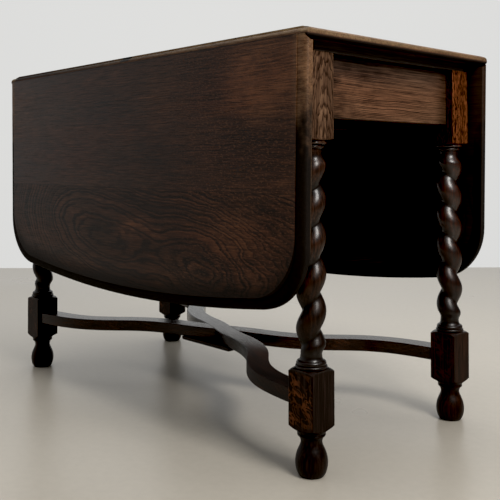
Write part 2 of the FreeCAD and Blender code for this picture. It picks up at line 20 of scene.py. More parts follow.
# ---------------------------------------------------------------- camera
F_PX, CX, CY = 764.93, 250.0, 148.2          # focal length and principal point, 500 x 500 frame
YAW, PITCH, ROLL = math.radians(47.295), math.radians(-1.031), math.radians(-0.079)
EYE = Vector((1.3608, -1.1684, 0.5282))
fwd = Vector((-math.sin(YAW) * math.cos(PITCH), math.cos(YAW) * math.cos(PITCH), -math.sin(PITCH)))
right = Vector((math.cos(YAW), math.sin(YAW), 0.0))
up = right.cross(fwd)
c, s = math.cos(ROLL), math.sin(ROLL)
right, up = c * right + s * up, c * up - s * right
cam_data = bpy.data.cameras.new("camera")
cam_data.sensor_width = 36.0
cam_data.sensor_fit = "AUTO"
cam_data.lens = F_PX / 500.0 * 36.0
cam_data.shift_x = (250.0 - CX) / 500.0
cam_data.shift_y = (CY - 250.0) / 500.0
cam_data.clip_start, cam_data.clip_end = 0.05, 60.0
cam = bpy.data.objects.new("camera", cam_data)
m = Matrix((right, up, -fwd)).transposed().to_4x4()
m.translation = EYE
cam.matrix_world = m
scene.collection.objects.link(cam)
scene.camera = cam


# ---------------------------------------------------------------- node helpers
class Graph:
    """small helper for building shader trees"""

    def __init__(self, name):
        self.mat = bpy.data.materials.new(name)
        self.mat.use_nodes = True
        self.t = self.mat.node_tree
        self.t.nodes.clear()
        self.out = self.t.nodes.new("ShaderNodeOutputMaterial")
        self.bsdf = self.t.nodes.new("ShaderNodeBsdfPrincipled")
        self.t.links.new(self.bsdf.outputs[0], self.out.inputs[0])
        self.coord = self.t.nodes.new("ShaderNodeTexCoord").outputs["Object"]

    def put(self, sock, v):
        if isinstance(v, bpy.types.NodeSocket):
            self.t.links.new(v, sock)
        elif v is not None:
            sock.default_value = v

    def math(self, op, a, b=None, c=None, clamp=False):
        n = self.t.nodes.new("ShaderNodeMath")
        n.operation = op
        n.use_clamp = clamp
        for i, v in enumerate((a, b, c)):
            if v is not None:
                self.put(n.inputs[i], v)
        return n.outputs[0]

    def add(self, a, b): return self.math("ADD", a, b)
    def sub(self, a, b): return self.math("SUBTRACT", a, b)
    def mul(self, a, b): return self.math("MULTIPLY", a, b)
    def mad(self, a, b, c): return self.math("MULTIPLY_ADD", a, b, c)

    def step(self, v, lo, hi):
        """smooth 0..1 as v goes lo..hi"""
        n = self.t.nodes.new("ShaderNodeMapRange")
        n.interpolation_type = "SMOOTHSTEP"
        self.put(n.inputs["Value"], v)
        n.inputs["From Min"].default_value, n.inputs["From Max"].default_value = lo, hi
        return n.outputs["Result"]

    def remap(self, v, a, b, c, d):
        n = self.t.nodes.new("ShaderNodeMapRange")
        self.put(n.inputs["Value"], v)
        for k, x in zip(("From Min", "From Max", "To Min", "To Max"), (a, b, c, d)):
            n.inputs[k].default_value = x
        return n.outputs["Result"]

    def xyz(self, v):
        n = self.t.nodes.new("ShaderNodeSeparateXYZ")
        self.put(n.inputs[0], v)
        return n.outputs[0], n.outputs[1], n.outputs[2]

    def vec(self, x, y, z):
        n = self.t.nodes.new("ShaderNodeCombineXYZ")
        for i, v in enumerate((x, y, z)):
            self.put(n.inputs[i], v)
        return n.outputs[0]

    def rotz(self, v, deg):
        n = self.t.nodes.new("ShaderNodeVectorRotate")
        n.rotation_type = "Z_AXIS"
        self.put(n.inputs["Vector"], v)
        n.inputs["Angle"].default_value = math.radians(deg)
        return n.outputs[0]

    def scale(self, v, x, y, z, off=(0, 0, 0)):
        n = self.t.nodes.new("ShaderNodeMapping")
        self.put(n.inputs["Vector"], v)
        n.inputs["Scale"].default_value = (x, y, z)
        n.inputs["Location"].default_value = off
        return n.outputs[0]

    def noise(self, v, detail=2.0, rough=0.5, scale=1.0, dist=0.0):
        n = self.t.nodes.new("ShaderNodeTexNoise")
        self.put(n.inputs["Vector"], v)
        n.inputs["Scale"].default_value = scale
        n.inputs["Detail"].default_value = detail
        n.inputs["Roughness"].default_value = rough
        n.inputs["Distortion"].default_value = dist
        return n.outputs["Fac"]

    def ramp(self, fac, stops, mode="LINEAR"):
        n = self.t.nodes.new("ShaderNodeValToRGB")
        n.color_ramp.interpolation = mode
        el = n.color_ramp.elements
        while len(el) < len(stops):
            el.new(0.5)
        for e, (p, col) in zip(el, stops):
            e.position = p
            e.color = (*col, 1.0) if len(col) == 3 else col
        self.put(n.inputs[0], fac)
        return n.outputs[0]

    def grey(self, fac, stops):
        return self.ramp(fac, [(p, (v, v, v)) for p, v in stops])

    def mix(self, fac, a, b, mode="MIX"):
        n = self.t.nodes.new("ShaderNodeMix")
        n.data_type = "RGBA"
        n.blend_type = mode
        n.clamp_factor = True
        self.put(n.inputs[0], fac)
        self.put(n.inputs[6], a if isinstance(a, bpy.types.NodeSocket) else (*a, 1.0))
        self.put(n.inputs[7], b if isinstance(b, bpy.types.NodeSocket) else (*b, 1.0))
        return n.outputs[2]

    def mixf(self, fac, a, b):
        n = self.t.nodes.new("ShaderNodeMix")
        n.data_type = "FLOAT"
        n.clamp_factor = True
        self.put(n.inputs[0], fac)
        self.put(n.inputs[2], a)
        self.put(n.inputs[3], b)
        return n.outputs[0]

    def bump(self, height, strength, dist):
        n = self.t.nodes.new("ShaderNodeBump")
        n.inputs["Strength"].default_value = strength
        n.inputs["Distance"].default_value = dist
        self.put(n.inputs["Height"], height)
        return n.outputs[0]

    def finish(self, color, rough, normal=None, coat=0.0, coat_rough=0.2, spec=0.5, metal=0.0):
        b = self.bsdf
        self.put(b.inputs["Base Color"], color)
        self.put(b.inputs["Roughness"], rough)
        if normal is not None:
            self.put(b.inputs["Normal"], normal)
        self.put(b.inputs["Coat Weight"], coat)
        b.inputs["Coat Roughness"].default_value = coat_rough
        b.inputs["Specular IOR Level"].default_value = spec
        b.inputs["Metallic"].default_value = metal
        return self.mat


def lin(r, g, b):
    """display colour 0..255 to linear"""
    f = lambda v: v / 12.92 if v <= 0.04045 else ((v + 0.055) / 1.055) ** 2.4
    return tuple(f(v / 255.0) for v in (r, g, b))


# ---------------------------------------------------------------- oak
DARK = lin(24, 12, 6)        # open pores and early wood
MID = lin(64, 35, 19)
LIGHT = lin(122, 74, 42)     # late wood under the stain
WORN_AND_LIT = ((98, 67, 46), (158, 126, 95))     # stain rubbed off, also used as painted light on rounded upper edges and arrises
# paler set for the top's edges: rubbed wear, also used as painted light
BLEACHED_AND_LIT = ((95, 75, 53), (155, 131, 98))
BLACK = lin(9, 5, 3)         # old polish and dirt, and the colour of painted shade


def oak_finish(g, gu, gv, gw, radius, spacing, tone, coat=0.1, gloss=0.42, red=0.0, figure=1.0, fibre_w=0.8,
               fleck=None, fleck_w=0.0, fleck_col=(150, 88, 44), wear_and_light=None, shade=None, spec=0.35, gain=1.0,
               dull=None, coat_rough=0.25, grey=0.0, relief=0.25, dash=8.0, tint=None, tint_col=(1.0, 0.76, 0.62),
               warm_w=None, cold=None, wear_and_light_cols=WORN_AND_LIT):
    """gu along the grain, gv and gw across it; radius = distance from the heart of the log (metres)"""
    dark = tuple(v * gain for v in DARK)
    mid = tuple(v * gain for v in MID)
    light = tuple(v * gain for v in LIGHT)
    if grey:
        mid = tuple(v + grey * (w - v) for v, w in zip(mid, lin(70, 50, 38)))
        light = tuple(v + grey * (w - v) for v, w in zip(light, lin(128, 97, 74)))
    # years differ in width and in how strongly they show
    wid = g.noise(g.vec(g.mul(radius, 55.0), 3.7, 1.9), 2.0, 0.6)
    ring = g.add(g.mul(radius, 1.0 / spacing), g.mul(wid, 3.2))
    t = g.math("FRACT", ring)
    year = g.noise(g.vec(g.mul(radius, 0.62 / spacing), g.mul(gu, 1.7), 0.3), 2.0, 0.6)
    # early wood is a dark porous line, late wood shades off slowly
    early = g.grey(t, [(0.0, 0.85), (0.10, 1.0), (0.22, 0.72), (0.42, 0.22), (0.80, 0.0), (0.93, 0.25), (1.0, 0.85)])
    patch = g.noise(g.vec(g.mul(gu, 5.0), g.mul(gv, 14.0), g.mul(gw, 14.0)), 2.0, 0.55)
    show = g.mul(g.remap(year, 0.30, 0.68, 0.2, 1.0), g.remap(patch, 0.30, 0.62, 0.35, 1.15))
    fibre = g.noise(g.vec(g.mul(gu, dash), g.mul(gv, 300.0), g.mul(gw, 300.0)), 3.0, 0.7)
    streak = g.noise(g.vec(g.mul(gu, 15.0), g.mul(gv, 430.0), g.mul(gw, 430.0)), 1.0, 0.5)
    pores = g.noise(g.vec(g.mul(gu, 38.0), g.mul(gv, 850.0), g.mul(gw, 850.0)), 1.0, 0.5)
    pore = g.grey(pores, [(0.0, 1.0), (0.36, 1.0), (0.46, 0.0), (1.0, 0.0)])
    long_pore = g.grey(streak, [(0.0, 1.0), (0.37, 1.0), (0.45, 0.0), (1.0, 0.0)])
    pore = g.math("MAXIMUM", pore, g.mul(long_pore, 0.8))
    pore = g.mul(pore, g.remap(early, 0.0, 1.0, 0.40, 1.0))
    cloud = g.noise(g.vec(g.mul(gu, 2.6), g.mul(gv, 9.0), g.mul(gw, 9.0)), 4.0, 0.6)
    v = g.mad(g.sub(0.36, early), g.mul(show, g.mul(figure, 0.62)), 0.46)
    v = g.add(v, g.mul(g.sub(fibre, 0.5), fibre_w))
    v = g.add(v, g.mul(g.sub(cloud, 0.5), 0.75))
    v = g.add(v, tone)
    col = g.ramp(v, [(0.0, dark), (0.42, mid), (1.0, light)])
    warm = g.noise(g.vec(g.mul(gu, 2.5), g.mul(gv, 7.0), g.mul(gw, 7.0)), 2.0, 0.5)
    warm = g.remap(warm, 0.38, 0.66, 0.0, 0.28 + red)
    if warm_w is not None:
        warm = g.mul(warm, warm_w)
    col = g.mix(warm, col, lin(128, 60, 26), "OVERLAY")
    col = g.mix(g.mul(pore, 0.62), col, tuple(v * 0.4 for v in dark))
    if tint is not None:
        col = g.mix(tint, col, tint_col, "MULTIPLY")
    if cold is not None:
        col = g.mix(cold, col, (0.92, 1.0, 1.35), "MULTIPLY")
    rough = g.add(g.mul(cloud, 0.16), gloss - 0.08)
    height = g.sub(g.mul(fibre, 0.35), g.mul(pore, 1.0))
    if shade is not None:
        # shade mixes toward the dark colour: real dark marks and painted shade alike
        col = g.mix(shade, col, BLACK)
    if fleck is not None:
        col = g.mix(g.mul(fleck, fleck_w), col, lin(*fleck_col))
        rough = g.sub(rough, g.mul(fleck, 0.06))
    # pale rubbed wear, partly used as painted light on upper edges and arrises
    if wear_and_light is not None:
        col = g.mix(wear_and_light, col, g.mix(g.grey(fibre, [(0.30, 0.0), (0.62, 1.0)]), lin(*wear_and_light_cols[0]), lin(*wear_and_light_cols[1])))
        rough = g.add(rough, g.mul(wear_and_light, 0.45))
    rough = g.add(rough, g.mul(pore, 0.12))
    if dull is not None:
        rough = g.mixf(dull, rough, 0.85)
    n = g.bump(height, relief, 0.0006)
    return g.finish(col, rough, n, coat=coat, coat_rough=coat_rough, spec=spec)


def blob(g, a, b, a0, b0, ra, rb):
    """soft spot, 1 in the middle"""
    p, q = g.mul(g.sub(a, a0), 1.0 / ra), g.mul(g.sub(b, b0), 1.0 / rb)
    return g.sub(1.0, g.step(g.math("SQRT", g.add(g.mul(p, p), g.mul(q, q))), 0.15, 1.0))


def leaf_material(name, flip, seed, pale=1.0):
    g = Graph(name)
    x, y, z = g.xyz(g.coord)
    gx = g.mul(x, flip)
    p = g.vec(g.add(gx, seed), g.mul(y, 1.0), z)
    w1 = g.sub(g.noise(g.scale(p, 3.6, 3.0, 8.0), 2.0, 0.5), 0.5)
    w2 = g.sub(g.noise(g.scale(p, 11.0, 6.0, 26.0, (3.1, 0, 1.7)), 2.0, 0.55), 0.5)
    w3 = g.sub(g.noise(g.scale(p, 26.0, 6.0, 110.0, (1.3, 0, 4.1)), 2.0, 0.5), 0.5)
    # lower board: flat sawn; the cut comes near the heart twice, so the rings run out in loops
    along = g.remap(g.add(gx, g.mul(w2, 0.03)), -0.53, 0.53, 0.0, 1.0)
    depth = g.ramp(along, [(k, (d, d, d)) for k, d in (
        (0.00, 0.235), (0.10, 0.165), (0.20, 0.100), (0.28, 0.060), (0.37, 0.042), (0.47, 0.034),
        (0.55, 0.050), (0.62, 0.054), (0.68, 0.034), (0.727, 0.024), (0.78, 0.032), (0.87, 0.080), (1.0, 0.130))], "B_SPLINE")
    depth = g.add(depth, g.mul(w1, 0.040))
    zc = g.add(g.mad(gx, -0.125, 0.364), g.mul(w1, 0.040))
    dz = g.sub(z, zc)
    r_low = g.math("SQRT", g.add(g.mul(depth, depth), g.mul(dz, dz)))
    r_low = g.add(r_low, g.add(g.mul(w2, 0.021), g.mul(w3, 0.0036)))
    r_low = g.add(r_low, g.mul(y, 0.8))
    # upper boards: rift sawn, nearly straight and close
    r_up = g.add(g.mad(gx, 0.022, z), g.add(g.mul(w1, 0.034), g.add(g.mul(w2, 0.008), g.mul(w3, 0.003))))
    r_up = g.mul(g.add(r_up, g.mul(y, 0.5)), 2.4)
    joint = g.step(g.add(z, g.mul(w3, 0.0006)), 0.4748, 0.4752)
    radius = g.mixf(joint, r_low, r_up)
    # distance in from the moulded outline
    ax = g.math("ABSOLUTE", x)
    d_end = g.sub(0.527, g.add(ax, g.mul(g.sub(0.736, z), 0.018519)))
    zz = g.sub(z, 3.45)
    d_bow = g.sub(3.2, g.math("SQRT", g.add(g.mul(x, x), g.mul(zz, zz))))
    ca = g.math("MAXIMUM", g.sub(0.115, d_end), 0.0)
    cb = g.math("MAXIMUM", g.sub(0.115, d_bow), 0.0)
    d = g.sub(0.115, g.math("SQRT", g.add(g.mul(ca, ca), g.mul(cb, cb))))
    band = g.sub(1.0, g.step(d, 0.0196, 0.0206))
    # the moulding is darkened with painted shade, as it turns away from the light; its upper ends are painted pale, as
    # rubbed wear and as light falling from above
    fade = g.noise(g.scale(p, 40.0, 40.0, 26.0), 2.0, 0.6)
    high = g.step(g.mad(g.sub(fade, 0.5), 0.22, z), 0.545, 0.690)
    # painted shade along the lower rim of the face, darker towards the bottom
    rim = g.mul(g.sub(1.0, g.step(d, 0.020, 0.075)), g.sub(1.0, g.step(z, 0.30, 0.42)))
    rag = g.noise(g.scale(p, 9.0, 9.0, 16.0, (2.2, 0, 0.7)), 4.0, 0.65)
    patch = g.math("MAXIMUM", g.mul(blob(g, gx, z, 0.432, 0.680, 0.155, 0.112), g.remap(rag, 0.34, 0.66, 0.9, 2.6)), g.mul(blob(g, gx, z, 0.34, 0.397, 0.17, 0.055), g.remap(rag, 0.34, 0.66, 0.5, 1.7)))
    patch = g.math("MAXIMUM", patch, g.mul(blob(g, gx, z, 0.43, 0.325, 0.085, 0.05), 0.8))
    patch = g.math("MAXIMUM", patch, g.mul(blob(g, gx, z, -0.20, 0.290, 0.14, 0.036), g.remap(rag, 0.34, 0.66, 0.5, 1.7)))
    patch = g.math("MAXIMUM", patch, g.mul(blob(g, gx, z, 0.045, 0.392, 0.11, 0.036), g.remap(rag, 0.34, 0.66, 0.4, 1.5)))
    grime = g.math("MAXIMUM", blob(g, gx, z, 0.40, 0.555, 0.16, 0.075), g.mul(blob(g, gx, z, 0.05, 0.53, 0.30, 0.07), 0.7))
    grime = g.math("MAXIMUM", grime, g.mul(blob(g, gx, z, 0.24, 0.325, 0.15, 0.065), 0.7))
    grime = g.math("MAXIMUM", grime, g.mul(blob(g, gx, z, -0.075, 0.385, 0.07, 0.035), 0.9))
    tone = g.add(g.mixf(joint, g.mad(g.step(gx, -0.05, 0.30), 0.06, -0.26), -0.155), g.mul(patch, 0.29))
    tone = g.add(tone, g.mul(grime, -0.14))
    ray = g.noise(g.vec(g.mul(g.add(gx, g.mul(z, 0.35)), 150.0), g.mul(y, 40.0), g.mul(z, 330.0)), 1.0, 0.5)
    ray = g.mul(g.step(ray, 0.54, 0.66), g.step(g.mad(g.sub(rag, 0.5), 0.35, gx), 0.05, 0.36))
    # painted shade on the inner face, which lies in the shadow under the top
    inside = g.sub(1.0, g.step(g.math("ABSOLUTE", y), 0.2590, 0.2605))
    glue = g.math("COMPARE", z, 0.4750, 0.0007)
    shade = g.math("MAXIMUM", g.mul(glue, 0.6), g.mul(inside, 0.75))
    shade = g.math("MAXIMUM", shade, g.mul(band, g.mixf(high, 0.97, 0.75 - 0.75 * pale)))
    shade = g.math("MAXIMUM", shade, g.mul(rim, 0.90))
    # pale line on the inner arris of the ends, painted as rubbed wear and as a highlight, and the pale top of the
    # moulding, painted as wear and as light from above
    arris = g.mul(g.sub(1.0, g.step(d, 0.0012, 0.0030)), g.sub(1.0, g.step(g.math("ABSOLUTE", y), 0.2612, 0.2626)))
    soft = g.sub(1.0, g.step(d, 0.012, 0.034))
    wear_and_light = g.math("MAXIMUM", g.mul(g.mul(soft, high), 0.36 * pale), g.mul(g.mul(arris, g.step(z, 0.36, 0.42)), 0.15 * pale))
    shade = g.math("MAXIMUM", shade, g.mul(g.step(z, 0.7328, 0.7345), 0.8))
    dry = g.math("MAXIMUM", inside, g.mul(g.mul(band, g.sub(1.0, high)), 0.95))
    dry = g.math("MAXIMUM", dry, g.mul(rim, 0.5))
    dry = g.math("MAXIMUM", dry, g.mul(g.sub(1.0, joint), 0.10))
    eye = blob(g, gx, z, 0.235, 0.330, 0.17, 0.085)
    figure = g.mixf(joint, g.mad(eye, 0.35, g.remap(gx, -0.45, 0.05, 1.05, 1.45)), 0.5)
    return oak_finish(g, gx, z, y, radius, 0.0088, tone, coat=0.0, gloss=0.33, gain=0.91, red=0.12, shade=shade, wear_and_light=wear_and_light,
                      figure=figure, fibre_w=1.15, dull=dry, spec=0.28, grey=0.28, dash=20.0,
                      fleck=g.mul(ray, g.sub(1.0, shade)), fleck_w=0.30, fleck_col=(112, 74, 50))


def top_material():
    g = Graph("oak_top")
    x, y, z = g.xyz(g.coord)
    p = g.vec(x, y, z)
    w1 = g.sub(g.noise(g.scale(p, 2.6, 7.0, 4.0, (7.3, 1.1, 0)), 2.0, 0.5), 0.5)
    w2 = g.sub(g.noise(g.scale(p, 8.0, 26.0, 6.0), 2.0, 0.5), 0.5)
    w3 = g.sub(g.noise(g.scale(p, 26.0, 110.0, 26.0), 2.0, 0.5), 0.5)
    # three boards glued edge to edge
    b1 = g.step(y, -0.0912, -0.0908)
    b2 = g.step(y, 0.0868, 0.0872)
    dx = g.sub(x, -0.15)
    depth = g.add(g.mad(g.mul(dx, dx), 0.30, 0.02), g.mul(w1, 0.04))
    dy = g.sub(y, g.add(g.mad(x, 0.03, 0.0), g.mul(w1, 0.03)))
    r_mid = g.math("SQRT", g.add(g.mul(depth, depth), g.mul(dy, dy)))
    r_mid = g.add(g.add(r_mid, g.mul(z, 0.8)), g.add(g.mul(w2, 0.010), g.mul(w3, 0.003)))
    r_a = g.mul(g.add(g.mad(x, 0.025, y), g.add(g.mul(w1, 0.05), g.mul(w2, 0.009))), 2.2)
    r_c = g.mul(g.add(g.mad(x, -0.018, y), g.add(g.mul(w1, 0.05), g.mul(w2, 0.010))), 1.7)
    radius = g.mixf(b2, g.mixf(b1, r_a, r_mid), r_c)
    tone = g.mixf(b2, g.mixf(b1, 0.0, 0.04), -0.03)
    # the ends and long edges are painted pale along the upper part of the moulding, as rubbed wear and as light falling
    # from above
    ax, ay = g.math("ABSOLUTE", x), g.math("ABSOLUTE", y)
    rub = g.noise(g.scale(p, 60.0, 14.0, 160.0), 3.0, 0.6)
    band = g.mul(g.step(ax, 0.500, 0.514), g.step(z, 0.7352, 0.7392))
    wear_and_light = g.mul(band, g.mul(g.remap(rub, 0.3, 0.62, 0.18, 0.50), g.remap(z, 0.7420, 0.7485, 1.0, 0.70)))
    ovolo = g.mul(g.step(ay, 0.2638, 0.2660), g.step(z, 0.7362, 0.7380))
    fillet = g.mul(g.mul(g.step(ay, 0.2620, 0.2632), g.sub(1.0, g.step(ay, 0.2640, 0.2650))), g.step(z, 0.7452, 0.7462))
    edge = g.math("MAXIMUM", g.mul(ovolo, 0.32), g.mul(fillet, 1.2))
    wear_and_light = g.math("MAXIMUM", wear_and_light, g.mul(edge, g.mul(g.remap(rub, 0.3, 0.62, 0.12, 0.48), g.remap(x, -0.45, 0.5, 0.05, 2.1))))
    # painted shade on the underside of the top and on the lower half of the rounded end edges, which face away from the
    # light
    underside_shade = g.sub(1.0, g.step(z, 0.7308, 0.7316))
    low = g.mul(g.step(ax, 0.505, 0.515), g.sub(1.0, g.step(z, 0.7338, 0.7385)))
    chip = g.mul(g.math("COMPARE", x, -0.002, 0.017), g.mul(g.math("COMPARE", z, 0.7453, 0.0052), g.sub(1.0, g.step(y, -0.2625, -0.2618))))
    seam = g.math("MAXIMUM", g.math("COMPARE", y, -0.0910, 0.0004), g.math("COMPARE", y, 0.0870, 0.0004))
    shade = g.math("MAXIMUM", g.mul(underside_shade, 0.6), g.mul(low, 0.97))
    # painted shade on the upward-facing part of the ovolo, stronger at the left, toning down the light it catches
    shade = g.math("MAXIMUM", shade, g.mul(g.mul(ovolo, g.remap(z, 0.7375, 0.7455, 0.30, 0.80)), g.remap(x, -0.5, 0.5, 1.75, 0.85)))
    shade = g.math("MAXIMUM", shade, g.math("MAXIMUM", g.mul(chip, 1.0), g.mul(seam, 0.6)))
    # painted shade on the fillet at the left
    shade = g.math("MAXIMUM", shade, g.mul(fillet, g.remap(x, -0.5, 0.15, 0.5, 0.0)))
    shade = g.math("MAXIMUM", shade, g.mul(g.mul(g.step(ay, 0.268, 0.270), g.sub(1.0, g.step(z, 0.7358, 0.7372))), 0.85))
    wear_and_light = g.mul(wear_and_light, g.sub(1.0, chip))
    return oak_finish(g, x, y, z, radius, 0.0080, tone, coat=0.0, gloss=0.44, wear_and_light=wear_and_light, wear_and_light_cols=BLEACHED_AND_LIT, shade=shade,
                      figure=0.8, spec=0.30, dull=g.mul(g.math("MAXIMUM", low, g.math("MAXIMUM", ovolo, fillet)), 0.95))


def rail_material(name, along, tone=0.0, seed=0.0, red=0.15, gain=1.0, close=2.4, shade=None, spec=0.28, grey=0.0, figure=0.9, shade_cool=0.0, fibre_w=1.25):
    g = Graph(name)
    x, y, z = g.xyz(g.coord)
    u, w = (y, x) if along == "Y" else (x, y)
    p = g.vec(g.add(u, seed), w, z)
    w1 = g.sub(g.noise(g.scale(p, 3.5, 3.0, 9.0), 2.0, 0.5), 0.5)
    w2 = g.sub(g.noise(g.scale(p, 12.0, 9.0, 45.0), 2.0, 0.5), 0.5)
    r = g.add(g.mad(u, 0.02, z), g.add(g.mul(w1, 0.020), g.mul(w2, 0.005)))
    r = g.mul(g.add(r, g.mul(w, 0.6)), close)
    sh = g.mul(shade, 1.0) if shade is not None else None
    # cool cast given to painted shade
    shade_cool_w = g.mul(shade_cool, 1.0) if shade_cool else None
    if name == "oak_end_rail_right":
        # painted light and shade: lighter towards the far leg and at the bottom, darker and mottled towards the near
        # leg; painted shadow beside both legs, and a cool-cast painted shadow under the top's overhang
        far = g.step(g.mad(w1, 0.14, u), -0.150, 0.060)
        low = g.sub(1.0, g.step(z, 0.655, 0.700))
        mott = g.noise(g.scale(p, 26.0, 20.0, 42.0), 3.0, 0.65)
        tone = g.add(g.mad(far, 0.14, tone), g.mul(low, 0.15))
        tone = g.add(tone, g.mul(g.mul(g.sub(mott, 0.52), g.sub(1.0, far)), 1.1))
        end_shade = g.math("MAXIMUM", g.step(g.mad(w2, 0.03, u), 0.132, 0.178), g.mul(g.sub(1.0, g.step(g.mad(w2, 0.04, u), -0.180, -0.120)), 0.85))
        overhang_shade = g.mul(g.step(g.mad(w2, 0.02, z), 0.655, 0.722), g.remap(u, -0.18, 0.18, 0.62, 0.42))
        sh = g.math("MAXIMUM", g.mul(end_shade, 0.6), overhang_shade)
        shade_cool_w = g.mul(overhang_shade, 1.5)
    return oak_finish(g, u, z, w, r, 0.0060, tone, coat=0.0, gloss=0.42, red=red, gain=gain, figure=figure,
                      fibre_w=fibre_w, spec=spec, shade=sh, grey=grey, tint=shade_cool_w,
                      tint_col=(0.80, 1.10, 1.50))


def leg_material(name, quarter, seed, tone=0.0, fleck_w=0.5, flame=0.012, arch=0.0, glow=0.0, grey=0.0, streak=0.7, low=0.55, flame_w=1.5,
                 polish=0.42, groove_w=0.85, inner_face_shade=0.0, satin=0.26, warm=1.0, curl=0.0):
    """quarter = where the heart of the log lay from the leg's axis, metres"""
    g = Graph(name)
    x, y, z = g.xyz(g.coord)
    lx = g.sub(g.math("ABSOLUTE", x), 0.4745)
    ly = g.sub(g.math("ABSOLUTE", y), 0.2098)
    p = g.vec(x, y, g.add(z, seed))
    w1 = g.sub(g.noise(g.scale(p, 16.0, 16.0, 14.0), 2.0, 0.55), 0.5)
    w2 = g.sub(g.noise(g.scale(p, 60.0, 60.0, 40.0), 2.0, 0.55), 0.5)
    hx, hy = g.sub(lx, quarter[0]), g.sub(ly, quarter[1])
    r = g.math("SQRT", g.add(g.mul(hx, hx), g.mul(hy, hy)))
    r = g.add(r, g.add(g.mul(w1, flame), g.add(g.mul(z, 0.018), g.mul(w2, 0.003))))
    upper = g.step(z, 0.552, 0.570)
    if arch:
        # flat-sawn face at the top block: flame-shaped rings
        cz = g.mul(g.sub(z, 0.50), arch)
        cy = g.add(g.add(ly, 0.004), g.mul(w1, 0.010))
        w4 = g.sub(g.noise(g.scale(p, 210.0, 210.0, 34.0), 2.0, 0.6), 0.5)
        fl_r = g.add(g.math("SQRT", g.add(g.mul(cz, cz), g.mul(cy, cy))), g.add(g.mul(w2, 0.006), g.mul(w4, 0.009)))
        r = g.mixf(upper, r, fl_r)
    if curl:
        # short broken lines on the face of the top block
        w5 = g.sub(g.noise(g.scale(p, 260.0, 260.0, 70.0), 2.0, 0.6), 0.5)
        r = g.add(r, g.mul(g.mul(upper, w5), curl))
    rr = g.math("SQRT", g.add(g.mul(lx, lx), g.mul(ly, ly)))
    # grooves darker, as dark polish held there and as painted shade in the hollows; crests lighter; only on the twist
    tw = g.mul(g.step(z, 0.200, 0.215), g.sub(1.0, g.step(z, 0.535, 0.548)))
    groove = g.mul(tw, g.mul(g.sub(1.0, g.step(rr, 0.0155, 0.0235)), groove_w))
    # painted shade: darker towards the floor, down to the lower block and foot
    floorward_shade = g.sub(1.0, g.step(g.mad(w1, 0.12, z), 0.06, 0.52))
    shade = g.math("MAXIMUM", groove, g.mixf(g.step(z, 0.165, 0.200), low, g.math("MINIMUM", g.mul(floorward_shade, 1.10), 0.85)))
    # darker lines in the creases between the turned rings: dark polish held there and painted shade
    coll = g.math("MAXIMUM", g.math("COMPARE", z, 0.1865, 0.0012), g.math("COMPARE", z, 0.5571, 0.0010))
    shade = g.math("MAXIMUM", shade, g.mul(coll, 0.8))
    # medullary flecks on the faces of the square blocks that were sawn on the quarter
    nrm = g.t.nodes.new("ShaderNodeTexCoord").outputs["Normal"]
    _, ny, _ = g.xyz(nrm)
    face = g.step(g.math("ABSOLUTE", ny), 0.75, 0.9)
    if inner_face_shade:
        # painted shade on the face turned in under the top
        shade = g.math("MAXIMUM", shade, g.mul(g.mul(upper, g.step(g.mul(ny, -1.0), 0.75, 0.9)), inner_face_shade))
    q = g.vec(g.mul(x, 62.0), g.mul(y, 62.0), g.mul(g.add(z, g.add(g.mul(w1, 0.03), g.mul(x, 0.5))), 78.0))
    fl = g.noise(q, 1.0, 0.5, dist=1.1)
    fl = g.sub(1.0, g.step(g.math("ABSOLUTE", g.sub(fl, 0.5)), 0.020, 0.062))
    some = g.noise(g.vec(g.mul(x, 30.0), g.mul(y, 30.0), g.mul(z, 22.0)), 2.0, 0.5)
    fl = g.mul(fl, g.remap(some, 0.38, 0.58, 0.05, 1.0))
    blk = g.sub(1.0, g.mul(g.step(z, 0.172, 0.182), g.sub(1.0, g.step(z, 0.560, 0.566))))
    fl = g.mul(g.mul(fl, blk), g.mul(face, g.step(z, 0.080, 0.090)))
    # crests lighter and grooves darker on the twist: dark polish in the hollows and painted shade
    tone = g.add(g.mad(upper, 0.36 + glow, tone - 0.24), g.mul(g.mul(g.sub(rr, 0.0205), tw), 9.0))
    fig = g.mixf(upper, 0.35, flame_w)
    turn = g.mul(g.step(z, 0.1755, 0.1800), g.sub(1.0, g.step(z, 0.5640, 0.5660)))
    ring = 0.203 if polish < 0.6 else 0.165
    dip = g.mul(g.step(z, ring, ring + 0.012), g.sub(1.0, g.step(z, 0.29, 0.40)))
    shine = g.mad(g.mul(turn, g.mad(dip, -0.55, 1.0)), polish, 0.03)
    return oak_finish(g, z, x, y, r, 0.0046, tone, coat=shine, gloss=0.42, red=0.2 + 0.7 * glow, figure=fig, fibre_w=streak,
                      fleck=fl, fleck_w=fleck_w, fleck_col=(110, 62, 34), shade=shade,
                      coat_rough=satin, spec=0.14, grey=grey, warm_w=g.mixf(upper, g.mixf(g.step(z, 0.165, 0.200), 0.25, 1.0), warm),
                      cold=g.sub(1.0, g.step(z, 0.165, 0.200)),
                      tint=g.mul(g.sub(1.0, upper), g.step(z, 0.165, 0.200)))


